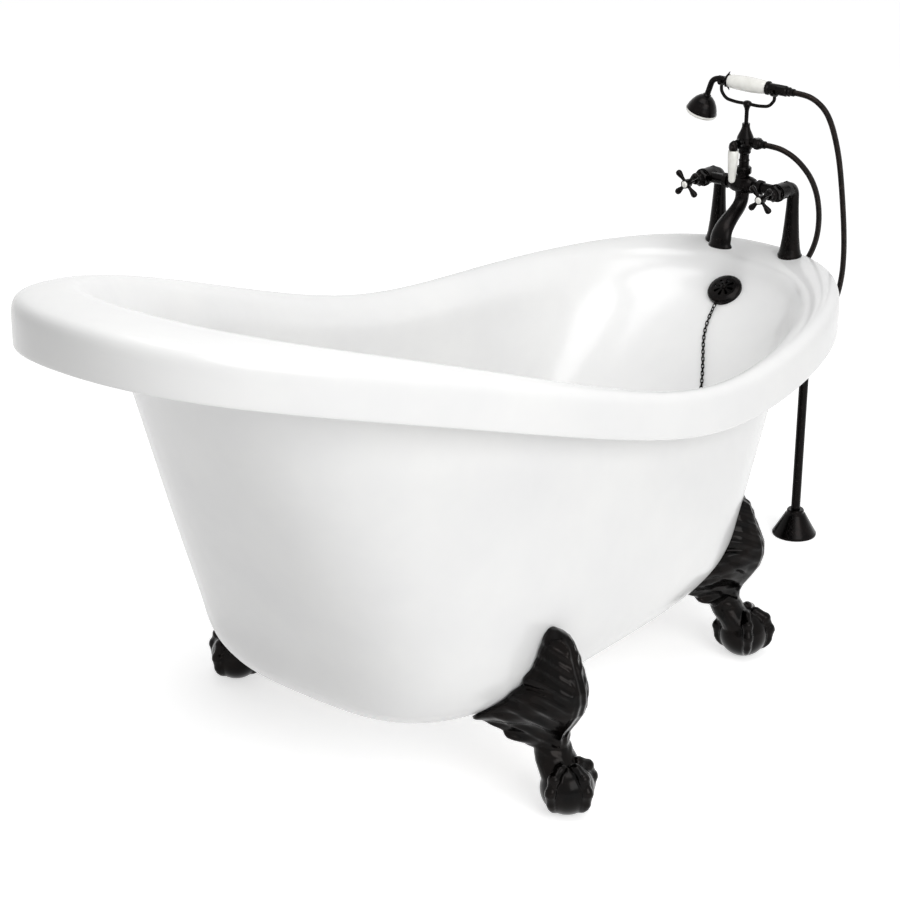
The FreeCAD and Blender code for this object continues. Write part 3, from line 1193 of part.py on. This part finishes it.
# ---- write -----------------------------------------------------------------------
os.makedirs("parts", exist_ok=True)
for name, shape in made.items():
    moved = shape.copy()
    moved.translate(vec(-whole_middle_x, 0, 0))
    moved.exportStep("parts/%s.step" % name)
    print(name, "solids", len(shape.Solids), "valid", shape.isValid(), "volume", round(shape.Volume))
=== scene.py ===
import json
import math

import bmesh
import bpy
from mathutils import Matrix, Vector
from mathutils.bvhtree import BVHTree

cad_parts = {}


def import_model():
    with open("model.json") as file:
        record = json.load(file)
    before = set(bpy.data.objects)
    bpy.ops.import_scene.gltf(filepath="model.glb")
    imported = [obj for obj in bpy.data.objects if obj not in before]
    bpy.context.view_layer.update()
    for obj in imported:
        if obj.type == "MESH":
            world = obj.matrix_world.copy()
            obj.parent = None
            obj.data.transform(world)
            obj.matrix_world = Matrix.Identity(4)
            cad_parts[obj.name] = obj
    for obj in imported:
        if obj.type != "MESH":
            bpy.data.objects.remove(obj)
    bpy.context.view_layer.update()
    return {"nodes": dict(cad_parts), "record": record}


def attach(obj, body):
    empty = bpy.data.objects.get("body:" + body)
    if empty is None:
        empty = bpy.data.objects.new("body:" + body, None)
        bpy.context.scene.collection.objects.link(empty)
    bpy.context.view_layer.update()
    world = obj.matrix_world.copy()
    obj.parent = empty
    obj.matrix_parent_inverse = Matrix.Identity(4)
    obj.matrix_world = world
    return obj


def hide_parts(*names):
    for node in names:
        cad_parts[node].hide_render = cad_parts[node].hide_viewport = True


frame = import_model()
scene = bpy.context.scene
nodes_of = frame["nodes"]

# ---- sizes, in metres --------------------------------------------------------------
MM = 0.001
FRAME_SHIFT = -40 * MM          # the tub's middle lies this far along X from the frame's origin
HOSE_DIAMETER = 10.4 * MM
RIB_PITCH = 2.6 * MM
RIB_PROFILE = [1.0, 1.0, 0.93, 0.93]    # share of the full radius at each quarter of a rib
HOSE_SIDES = 14
# The hose's route, hand shower to diverter, in millimetres from the tub's middle
HOSE_START = (752.0, -92.8, 877.144)
HOSE_END = (752.0, -41.0, 776.144)
HOSE_STRAIGHT = 22.0
HOSE_HANG = [
    (756.0, -133.0, 870.0), (765.0, -147.0, 854.0), (777.0, -153.0, 831.0), (794.0, -154.0, 799.0),
    (813.0, -153.0, 759.0), (831.0, -150.0, 714.0), (849.0, -146.0, 667.0), (866.0, -142.0, 618.0),
    (883.0, -136.0, 566.0), (899.0, -126.0, 514.0), (912.0, -109.0, 461.0), (920.0, -80.0, 409.0),
    (924.0, -40.0, 363.0), (924.0, 8.0, 327.0), (922.0, 60.0, 302.0), (919.0, 112.0, 292.0),
    (916.0, 158.0, 304.0), (913.0, 184.0, 338.0), (911.0, 180.0, 380.0), (910.0, 148.0, 410.0),
    (909.0, 104.0, 428.0), (907.0, 58.0, 447.0), (903.0, 12.0, 471.0), (896.0, -30.0, 503.0),
    (886.0, -63.0, 542.0), (871.0, -86.0, 587.0), (851.0, -100.0, 634.0), (829.0, -106.0, 680.0),
    (807.0, -105.0, 715.0), (787.0, -99.0, 740.0), (769.0, -91.0, 759.0), (757.0, -78.0, 771.0)]


# ---- materials ---------------------------------------------------------------------
def linear(code):
    """An sRGB hex colour as linear red, green, blue and alpha."""
    parts = [int(code[i:i + 2], 16) / 255 for i in (1, 3, 5)]
    return [c / 12.92 if c <= 0.04045 else ((c + 0.055) / 1.055) ** 2.4 for c in parts] + [1.0]


def add(tree, kind, sockets=None, **settings):
    """A shader node with its settings and constant inputs."""
    made = tree.nodes.new(kind)
    for name, value in settings.items():
        setattr(made, name, value)
    for name, value in (sockets or {}).items():
        made.inputs[name].default_value = value
    return made


def surface(name, metallic=0.0, roughness=0.4, dark="#000000", light="#000000", patch=0.02,
            rough_spread=0.08, bump=0.0, bump_size=0.001, coat=0.0, sheen=0.0):
    """A finish whose colour and roughness vary between two tones over patches of a real size."""
    material = bpy.data.materials.new(name)
    material.use_nodes = True
    tree = material.node_tree
    shader = tree.nodes["Principled BSDF"]
    shader.inputs["Metallic"].default_value = metallic
    shader.inputs["Coat Weight"].default_value = coat
    shader.inputs["Coat Roughness"].default_value = 0.08
    shader.inputs["Sheen Weight"].default_value = sheen
    place = add(tree, "ShaderNodeTexCoord")
    blotch = add(tree, "ShaderNodeTexNoise", {"Scale": 1 / patch, "Detail": 4.0, "Roughness": 0.6})
    tone = add(tree, "ShaderNodeValToRGB")
    tone.color_ramp.elements[0].position = 0.35
    tone.color_ramp.elements[1].position = 0.68
    tone.color_ramp.elements[0].color = linear(dark)
    tone.color_ramp.elements[1].color = linear(light)
    spread = add(tree, "ShaderNodeMapRange",
                 {"To Min": roughness - rough_spread, "To Max": roughness + rough_spread})
    tree.links.new(place.outputs["Object"], blotch.inputs["Vector"])
    tree.links.new(blotch.outputs["Fac"], tone.inputs["Fac"])
    tree.links.new(blotch.outputs["Fac"], spread.inputs["Value"])
    tree.links.new(tone.outputs["Color"], shader.inputs["Base Color"])
    tree.links.new(spread.outputs["Result"], shader.inputs["Roughness"])
    if bump:
        grain = add(tree, "ShaderNodeTexNoise", {"Scale": 1 / bump_size, "Detail": 3.0})
        raised = add(tree, "ShaderNodeBump", {"Strength": 0.6, "Distance": bump})
        tree.links.new(place.outputs["Object"], grain.inputs["Vector"])
        tree.links.new(grain.outputs["Fac"], raised.inputs["Height"])
        tree.links.new(raised.outputs["Normal"], shader.inputs["Normal"])
    return material


# Vacuum-formed acrylic, polished: glossy white with a faint ripple
acrylic = surface("gloss_acrylic", roughness=0.24, dark="#f0f0f0", light="#f6f6f5", patch=0.25,
                  rough_spread=0.03, bump=0.00004, bump_size=0.03, coat=0.12)
# Oil-rubbed bronze on cast iron: brown-black, a little lighter where it was rubbed back
feet_bronze = surface("oil_rubbed_bronze_cast", metallic=0.8, roughness=0.2, dark="#020202",
                      light="#0e0907", patch=0.03, rough_spread=0.06, bump=0.00012,
                      bump_size=0.0035)
# The same finish on machined and polished brass, smoother and blacker
bronze = surface("oil_rubbed_bronze_polished", metallic=0.85, roughness=0.27, dark="#070606",
                 light="#120e0d", patch=0.012, rough_spread=0.05, bump=0.00005, bump_size=0.002)
# The same finish on stamped hose ribs
hose_bronze = surface("oil_rubbed_bronze_hose", metallic=0.85, roughness=0.32, dark="#100d0c",
                      light="#241d1a", patch=0.01, rough_spread=0.05)
# Glazed porcelain: milky white with a hard gloss
porcelain = surface("glazed_porcelain", roughness=0.12, dark="#e9e8e2", light="#f5f4ef", patch=0.015,
                    rough_spread=0.03, bump=0.00006, bump_size=0.008, coat=0.6)
# Moulded rubber, matt
rubber = surface("moulded_rubber", roughness=0.62, dark="#141414", light="#222222", patch=0.006,
                 rough_spread=0.08, bump=0.00008, bump_size=0.0012, sheen=0.1)
# Rolled steel bolts with electroplated zinc, lightly spangled
zinc = surface("zinc_plated_steel", metallic=1.0, roughness=0.36, dark="#8f9192", light="#b4b5b3",
               patch=0.004, rough_spread=0.08)
# Laminated plywood, sawn and sealed
plywood = surface("sealed_plywood", roughness=0.5, dark="#9a7850", light="#c09b6c", patch=0.008,
                  rough_spread=0.08, bump=0.0002, bump_size=0.002)

MATERIAL_OF_SLOT = {"tub_acrylic": acrylic, "feet_bronze": feet_bronze, "bronze": bronze,
                    "bronze_hose": hose_bronze, "porcelain": porcelain, "stopper_rubber": rubber,
                    "gasket_rubber": rubber, "bolt_steel": zinc, "block_wood": plywood}


def dress(piece, material):
    """Gives a piece one material."""
    piece.data.materials.clear()
    piece.data.materials.append(material)


def dress_nodes():
    """Each node gets its slot's material, and the cross handles' buttons are porcelain."""
    for sub in frame["record"]["subparts"]:
        dress(nodes_of[sub["node"]], MATERIAL_OF_SLOT[sub["material_slot"]])
    for side in ("far", "near"):
        dress(nodes_of["button_" + side], porcelain)


dress_nodes()


# ---- hose --------------------------------------------------------------------------
def frame_point(point):
    """A point in millimetres from the tub's middle, as metres in the frame."""
    return Vector((point[0] * MM + FRAME_SHIFT, point[1] * MM, point[2] * MM))


def spline_points(route):
    """Points along the smooth NURBS line that the route's points control."""
    data = bpy.data.curves.new("hose_line", "CURVE")
    data.dimensions = "3D"
    data.resolution_u = 24
    line = data.splines.new("NURBS")
    line.points.add(len(route) - 1)
    for knot, point in zip(line.points, route):
        knot.co = (*point, 1.0)
    line.order_u = 3
    line.use_endpoint_u = True
    holder = bpy.data.objects.new("hose_line", data)
    scene.collection.objects.link(holder)
    bpy.context.view_layer.update()
    graph = bpy.context.evaluated_depsgraph_get()
    mesh = bpy.data.meshes.new_from_object(holder.evaluated_get(graph))
    points = [v.co.copy() for v in mesh.vertices]
    bpy.data.objects.remove(holder)
    bpy.data.meshes.remove(mesh)
    return points


def even_points(points, step):
    """The same line, walked in even steps."""
    travel = [0.0]
    for a, b in zip(points, points[1:]):
        travel.append(travel[-1] + (b - a).length)
    count = max(2, round(travel[-1] / step))
    even = []
    k = 0
    for i in range(count + 1):
        target = travel[-1] * i / count
        while k < len(points) - 2 and travel[k + 1] < target:
            k += 1
        share = (target - travel[k]) / (travel[k + 1] - travel[k])
        even.append(points[k].lerp(points[k + 1], min(max(share, 0), 1)))
    return even


def sweep(name, points, radii, around):
    """A closed tube of rings along points, with a radius for each point."""
    mesh = bmesh.new()
    normal = Vector((1, 0, 0))
    rings = []
    for i, point in enumerate(points):
        ahead = points[min(i + 1, len(points) - 1)] - points[max(i - 1, 0)]
        ahead.normalize()
        normal = (normal - ahead * normal.dot(ahead)).normalized()
        side = ahead.cross(normal)
        ring = []
        for k in range(around):
            angle = 2 * math.pi * k / around
            outward = normal * math.cos(angle) + side * math.sin(angle)
            ring.append(mesh.verts.new(point + outward * radii[i]))
        rings.append(ring)
    for low, high in zip(rings, rings[1:]):
        for k in range(around):
            mesh.faces.new((low[k], low[(k + 1) % around], high[(k + 1) % around], high[k]))
    mesh.faces.new(list(reversed(rings[0])))
    mesh.faces.new(rings[-1])
    bmesh.ops.recalc_face_normals(mesh, faces=mesh.faces)
    return finished(name, mesh)


def finished(name, mesh, smooth=True):
    """A new object from a bmesh, shaded smooth or flat."""
    data = bpy.data.meshes.new(name)
    mesh.to_mesh(data)
    mesh.free()
    data.polygons.foreach_set("use_smooth", [smooth] * len(data.polygons))
    piece = bpy.data.objects.new(name, data)
    scene.collection.objects.link(piece)
    return piece


def hose():
    """The ribbed hose, from the hand shower down behind the tub and up to the diverter."""
    lead = Vector((0, -HOSE_STRAIGHT * MM, 0))
    start = frame_point(HOSE_START)
    end = frame_point(HOSE_END)
    route = [start, start + lead] + [frame_point(p) for p in HOSE_HANG] + [end + lead, end]
    line = spline_points(route)
    quarters = len(RIB_PROFILE)
    walk = even_points(line, RIB_PITCH / quarters)
    radii = [HOSE_DIAMETER / 2 * RIB_PROFILE[i % quarters] for i in range(len(walk))]
    tube = sweep("hose_ribbed", walk, radii, HOSE_SIDES)
    dress(tube, hose_bronze)
    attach(tube, "tub")
    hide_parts("hose")


hose()


# ---- feet ---------------------------------------------------------------------------
# A foot is modelled about the middle of its ball, in millimetres: u outward, v along the
# tub's side and z up. Each row of a table is a height and what the leaf measures there.
LEAF_EDGE = [       # height, half width and place of the leaf's edge
    (291, 6, -40), (284, 17, -32), (276, 24, -28), (262, 27, -32), (247, 31, -35), (236, 34, -37),
    (225, 45, -40), (214, 50, -42), (207, 47, -45), (202, 60, -48), (190, 71, -54), (180, 76, -62),
    (169, 91, -76), (159, 98, -88), (150, 99, -98), (142, 80, -92), (131, 65, -78), (116, 56, -66),
    (104, 36, -56), (96, 24, -50)]
LEAF_RIDGE = [      # height and how far out the middle rib stands
    (291, -30), (284, -12), (276, 0), (262, 5), (247, 10), (225, 20), (207, 27), (190, 28), (168, 22),
    (150, 10), (131, -4), (116, -11), (104, -14), (96, -14)]
LEAF_SHOULDER = [   # height, half width and place of the swell beside the middle rib
    (291, 4, -34), (284, 13, -17), (262, 24, -8), (240, 29, -1), (207, 34, 7), (180, 35, 5),
    (150, 30, -8), (131, 26, -18), (104, 22, -26), (96, 20, -28)]
ANKLE = [           # height, place of the middle, half depth and half width
    (128, -34, 24, 26), (103, -35, 26, 28), (90, -31, 29, 31), (78, -24, 31, 34), (63, -12, 33, 36),
    (45, -3, 33, 36)]
TOE_TURNS = [-78, 0, 78, 180]
TOE_BONES = [       # tilt over the ball's equator, half width and lift off the ball
    (74, 9, -1), (64, 9.5, 1), (55, 8.5, 1.5), (48, 9, 2), (42, 10.5, 3), (36, 10.5, 3.2), (30, 8.8, 2),
    (22, 8.2, 1.8), (15, 9.6, 2.6), (8, 9.8, 2.8), (1, 8.2, 1.6), (-6, 7.4, 1.2), (-14, 7.6, 1.6),
    (-24, 6.6, 1.4), (-34, 5.0, 0.6), (-43, 3.2, -0.4), (-51, 1.2, -1.4)]
BALL_RADIUS = 41.5
BALL_MIDDLE = 40.0
LEAF_STEP = 3               # between the leaf's rings, in height
LEAF_BACK = -50.0           # the leaf's back stands at least this far in
LOBE = 5.0                  # how far the leaf's lobes swell
LOBE_STEP = 21.0            # height of one lobe, and of one carved rib
RIB_RISE = 2.6              # how far a carved rib rises
RIB_SWEEP = 0.55            # how much lower a rib is for each step outward
CARVED_FROM = 88            # the carving fades in from this height
CARVED_TO = 286
GROOVE_FROM = 105           # the middle rib's groove fades in from this height
VOXEL = 1.6                 # grid of the merged skin
# A point inside the tub, above the base and inward of the foot, that the leaf is pressed away from
TUB_INSIDE_U = -168
TUB_INSIDE_Z = 256.5
RAY_REACH = 0.3             # metres, more than any depth of the leaf inside the tub
SKIN_GAP = 0.0003           # metres between the leaf and the tub
# The four feet: node, middle of the ball in millimetres, and which way it faces
FEET = [("foot_head_near", (-199.0, -341.0), -100.0), ("foot_end_near", (410.0, -261.0), -60.0),
        ("foot_head_far", (-199.0, 341.0), 100.0), ("foot_end_far", (410.0, 261.0), 60.0)]


def between(table, height):
    """A table's row at a height, where its heights fall."""
    if height >= table[0][0]:
        return table[0][1:]
    for high, low in zip(table, table[1:]):
        if low[0] <= height:
            share = (high[0] - height) / (high[0] - low[0])
            return tuple(a + (b - a) * share for a, b in zip(high[1:], low[1:]))
    return table[-1][1:]


def rings_to_solid(mesh, rings):
    """Joins closed rings of points, one after the other, and caps both ends."""
    rows = [[mesh.verts.new(point * MM) for point in ring] for ring in rings]
    around = len(rows[0])
    for low, high in zip(rows, rows[1:]):
        for k in range(around):
            mesh.faces.new((low[k], low[(k + 1) % around], high[(k + 1) % around], high[k]))
    mesh.faces.new(list(reversed(rows[0])))
    mesh.faces.new(rows[-1])


def leaf(mesh):
    """The acanthus leaf that wraps the corner of the tub's base."""
    rings = []
    for height in range(LEAF_EDGE[-1][0], LEAF_EDGE[0][0] + 1, LEAF_STEP):
        edge_v, edge_u = between(LEAF_EDGE, height)
        edge_v += LOBE * abs(math.sin(math.pi * height / LOBE_STEP)) * min(1, edge_v / 60)
        ridge_u, = between(LEAF_RIDGE, height)
        swell_v, swell_u = between(LEAF_SHOULDER, height)
        half = [(ridge_u * 0.75 + swell_u * 0.25 + 1.5, swell_v * 0.45),
                (swell_u + 2, swell_v * 0.82),
                (swell_u * 0.72 + edge_u * 0.28, swell_v + (edge_v - swell_v) * 0.25),
                (swell_u * 0.35 + edge_u * 0.65, swell_v + (edge_v - swell_v) * 0.62),
                (edge_u + 3, edge_v - 2), (edge_u - 2, edge_v), (edge_u - 9, edge_v - 3),
                (edge_u * 0.6 - 33, edge_v * 0.55)]
        ring = [(ridge_u, 0)] + half + [(min(edge_u, LEAF_BACK) - 14, 0)]
        ring += [(u, -v) for u, v in reversed(half)]
        rings.append([Vector((u, v, height)) for u, v in ring])
    rings_to_solid(mesh, rings)


def ball(mesh):
    """The ball that the claw grips."""
    made = bmesh.ops.create_uvsphere(mesh, u_segments=48, v_segments=32, radius=BALL_RADIUS * MM)
    bmesh.ops.translate(mesh, verts=made["verts"], vec=(0, 0, BALL_MIDDLE * MM))


def oval(middle, first, second, points):
    """A ring of points on an ellipse, from its middle and its two half axes."""
    turns = [2 * math.pi * k / points for k in range(points)]
    return [middle + first * math.cos(t) + second * math.sin(t) for t in turns]


def ankle(mesh):
    """The ankle between the leaf and the ball."""
    rings_to_solid(mesh, [
        oval(Vector((u, 0, height)), Vector((deep, 0, 0)), Vector((0, wide, 0)), 24)
        for height, u, deep, wide in reversed(ANKLE)])


def toes(mesh):
    """Four toes with two knuckles and a claw, gripping the ball."""
    for turn in TOE_TURNS:
        side = math.radians(turn)
        heading = Vector((math.cos(side), math.sin(side), 0))
        across = Vector((-math.sin(side), math.cos(side), 0))
        rings = []
        for tilt, size, lift in TOE_BONES:
            rise = math.radians(tilt)
            outward = heading * math.cos(rise) + Vector((0, 0, math.sin(rise)))
            middle = outward * (BALL_RADIUS + lift) + Vector((0, 0, BALL_MIDDLE))
            rings.append(oval(middle, outward * size, across * size, 16))
        rings_to_solid(mesh, rings)


def relief(point, normal):
    """How far the leaf's carving lifts a point: ribs that sweep outward from a grooved middle rib."""
    _, v, height = point / MM
    if height < CARVED_FROM:
        return 0.0
    edge_v, _ = between(LEAF_EDGE, height)
    facing = max(0.0, normal.x * 0.9 + abs(normal.y) * 0.5)
    fade = min(1.0, (height - CARVED_FROM) / 20) * min(1.0, max(0.0, (CARVED_TO - height) / 8))
    lean = RIB_SWEEP * abs(v) * (1 + 0.004 * (height - 100))
    rib = math.cos(2 * math.pi * (height - lean) / LOBE_STEP)
    rib = (0.5 + 0.5 * rib) ** 1.6 - 0.4
    reach = min(1.0, max(0.0, (abs(v) / max(edge_v, 10) - 0.16) / 0.2))
    groove = 1.2 * math.exp(-((abs(v) - 7) / 3) ** 2) - 1.6 * math.exp(-(v / 3.2) ** 2)
    depth = min(1.0, max(0.0, (height - GROOVE_FROM) / 12))
    return (rib * RIB_RISE * reach + groove * depth) * facing * fade * MM


def foot_form():
    """One foot as a single skin, merged from its leaf, ankle, ball and toes."""
    mesh = bmesh.new()
    for make in (leaf, ball, toes, ankle):
        make(mesh)
    bmesh.ops.recalc_face_normals(mesh, faces=mesh.faces)
    rough = finished("foot_form", mesh)
    merge = rough.modifiers.new("merge", "REMESH")
    merge.mode = "VOXEL"
    merge.voxel_size = VOXEL * MM
    soften = rough.modifiers.new("soften", "SMOOTH")
    soften.iterations = 4
    bpy.context.view_layer.update()
    graph = bpy.context.evaluated_depsgraph_get()
    merged = bpy.data.meshes.new_from_object(rough.evaluated_get(graph))
    bpy.data.objects.remove(rough)
    lifts = [v.normal * relief(v.co, v.normal) for v in merged.vertices]
    for vertex, lift in zip(merged.vertices, lifts):
        vertex.co += lift
        vertex.co.z = max(vertex.co.z, 0)
    return merged


def feet():
    """The four cast feet, each pressed against the tub where it touches."""
    form = foot_form()
    tree = BVHTree.FromObject(nodes_of["tub_shell"], bpy.context.evaluated_depsgraph_get())
    for node, place, facing in FEET:
        turn = Matrix.Rotation(math.radians(facing), 4, "Z")
        place = Matrix.Translation(frame_point((place[0], place[1], 0)))
        mesh = form.copy()
        for vertex in mesh.vertices:
            # Outward and down from inside the tub: the skin is pressed along this line onto the tub
            outward = max(vertex.co.x / MM - TUB_INSIDE_U, 1)
            downward = min(vertex.co.z / MM - TUB_INSIDE_Z, 0)
            away = turn @ Vector((outward, 0, downward)).normalized()
            point = place @ turn @ vertex.co
            hit = tree.ray_cast(point + away * RAY_REACH, -away, RAY_REACH)[0]
            vertex.co = hit + away * SKIN_GAP if hit else point
        piece = bpy.data.objects.new(node + "_cast", mesh)
        scene.collection.objects.link(piece)
        mesh.polygons.foreach_set("use_smooth", [True] * len(mesh.polygons))
        dress(piece, feet_bronze)
        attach(piece, "tub")
        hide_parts(node)


feet()


# ---- floor, light and camera --------------------------------------------------------
FLOOR_SIZE = 14         # half its side
FLOOR_LIFT = 0.6        # glow that lifts the lit floor to white, for the camera and in reflections
AMBIENT = 0.36          # level light from all around
# The photograph's viewpoint: its place in millimetres from the tub's middle, angles in degrees
CAMERA_PLACE = (-2838.5, -2235.6, 1929.8)
CAMERA_YAW = 39.48
CAMERA_PITCH = 22.40
CAMERA_ROLL = 0.17
CAMERA_LENS = 99.19
CAMERA_SHIFT = (0.0288, -0.0052)


def floor():
    """A plain pale floor that keeps its shadow and is white away from it."""
    mesh = bmesh.new()
    bmesh.ops.create_grid(mesh, x_segments=1, y_segments=1, size=FLOOR_SIZE)
    ground = finished("floor", mesh, False)
    material = bpy.data.materials.new("white_floor")
    material.use_nodes = True
    tree = material.node_tree
    shader = tree.nodes["Principled BSDF"]
    shader.inputs["Base Color"].default_value = linear("#f3f3f3")
    shader.inputs["Roughness"].default_value = 0.9
    path = add(tree, "ShaderNodeLightPath")
    seen = add(tree, "ShaderNodeMath", operation="MAXIMUM")
    glow = add(tree, "ShaderNodeEmission", {"Color": (1, 1, 1, 1)})
    share = add(tree, "ShaderNodeMath", {1: FLOOR_LIFT}, operation="MULTIPLY")
    both = add(tree, "ShaderNodeAddShader")
    output = tree.nodes["Material Output"]
    tree.links.new(path.outputs["Is Camera Ray"], seen.inputs[0])
    tree.links.new(path.outputs["Is Glossy Ray"], seen.inputs[1])
    tree.links.new(seen.outputs[0], share.inputs[0])
    tree.links.new(share.outputs[0], glow.inputs["Strength"])
    tree.links.new(shader.outputs[0], both.inputs[0])
    tree.links.new(glow.outputs[0], both.inputs[1])
    tree.links.new(both.outputs[0], output.inputs["Surface"])
    dress(ground, material)


def world():
    """White to the camera and in reflections, and level light elsewhere."""
    sky = bpy.data.worlds.new("studio")
    scene.world = sky
    sky.use_nodes = True
    tree = sky.node_tree
    back = tree.nodes["Background"]
    back.inputs["Color"].default_value = (1, 1, 1, 1)
    path = add(tree, "ShaderNodeLightPath")
    seen = add(tree, "ShaderNodeMath", operation="MAXIMUM")
    level = add(tree, "ShaderNodeMapRange", {"To Min": AMBIENT, "To Max": 1.0})
    either = add(tree, "ShaderNodeMath", operation="MAXIMUM")
    tree.links.new(path.outputs["Is Camera Ray"], seen.inputs[0])
    tree.links.new(path.outputs["Is Transmission Ray"], seen.inputs[1])
    tree.links.new(seen.outputs[0], either.inputs[0])
    tree.links.new(path.outputs["Is Glossy Ray"], either.inputs[1])
    tree.links.new(either.outputs[0], level.inputs["Value"])
    tree.links.new(level.outputs["Result"], back.inputs["Strength"])


def lamp(name, place, target, size, power):
    """A soft area lamp of a size in metres, turned to a target."""
    data = bpy.data.lights.new(name, "AREA")
    data.shape = "RECTANGLE"
    data.size = size[0]
    data.size_y = size[1]
    data.energy = power
    obj = bpy.data.objects.new(name, data)
    scene.collection.objects.link(obj)
    obj.location = place
    obj.rotation_euler = (Vector(target) - Vector(place)).to_track_quat("-Z", "Y").to_euler()


def camera():
    """The photograph's viewpoint."""
    yaw = math.radians(CAMERA_YAW)
    pitch = math.radians(CAMERA_PITCH)
    roll = math.radians(CAMERA_ROLL)
    place = frame_point(CAMERA_PLACE)
    level = math.cos(pitch)
    ahead = Vector((math.cos(yaw) * level, math.sin(yaw) * level, -math.sin(pitch)))
    right = Vector((math.sin(yaw), -math.cos(yaw), 0))
    up = right.cross(ahead)
    across = right * math.cos(roll) + up * math.sin(roll)
    upward = up * math.cos(roll) - right * math.sin(roll)
    data = bpy.data.cameras.new("camera")
    data.sensor_width = 36
    data.lens = CAMERA_LENS
    data.shift_x, data.shift_y = CAMERA_SHIFT
    data.clip_end = 60
    obj = bpy.data.objects.new("camera", data)
    obj.matrix_world = Matrix((
        (across.x, upward.x, -ahead.x, place.x), (across.y, upward.y, -ahead.y, place.y),
        (across.z, upward.z, -ahead.z, place.z), (0, 0, 0, 1)))
    scene.collection.objects.link(obj)
    scene.camera = obj


floor()
world()
lamp("key", (-1.3, -3.5, 2.4), (0.0, 0.0, 0.4), (2.6, 2.4), 69)
lamp("top", (-0.3, -0.5, 3.6), (0.3, 0.1, 0.5), (2.2, 2.2), 48)
camera()
scene.view_settings.view_transform = "Standard"
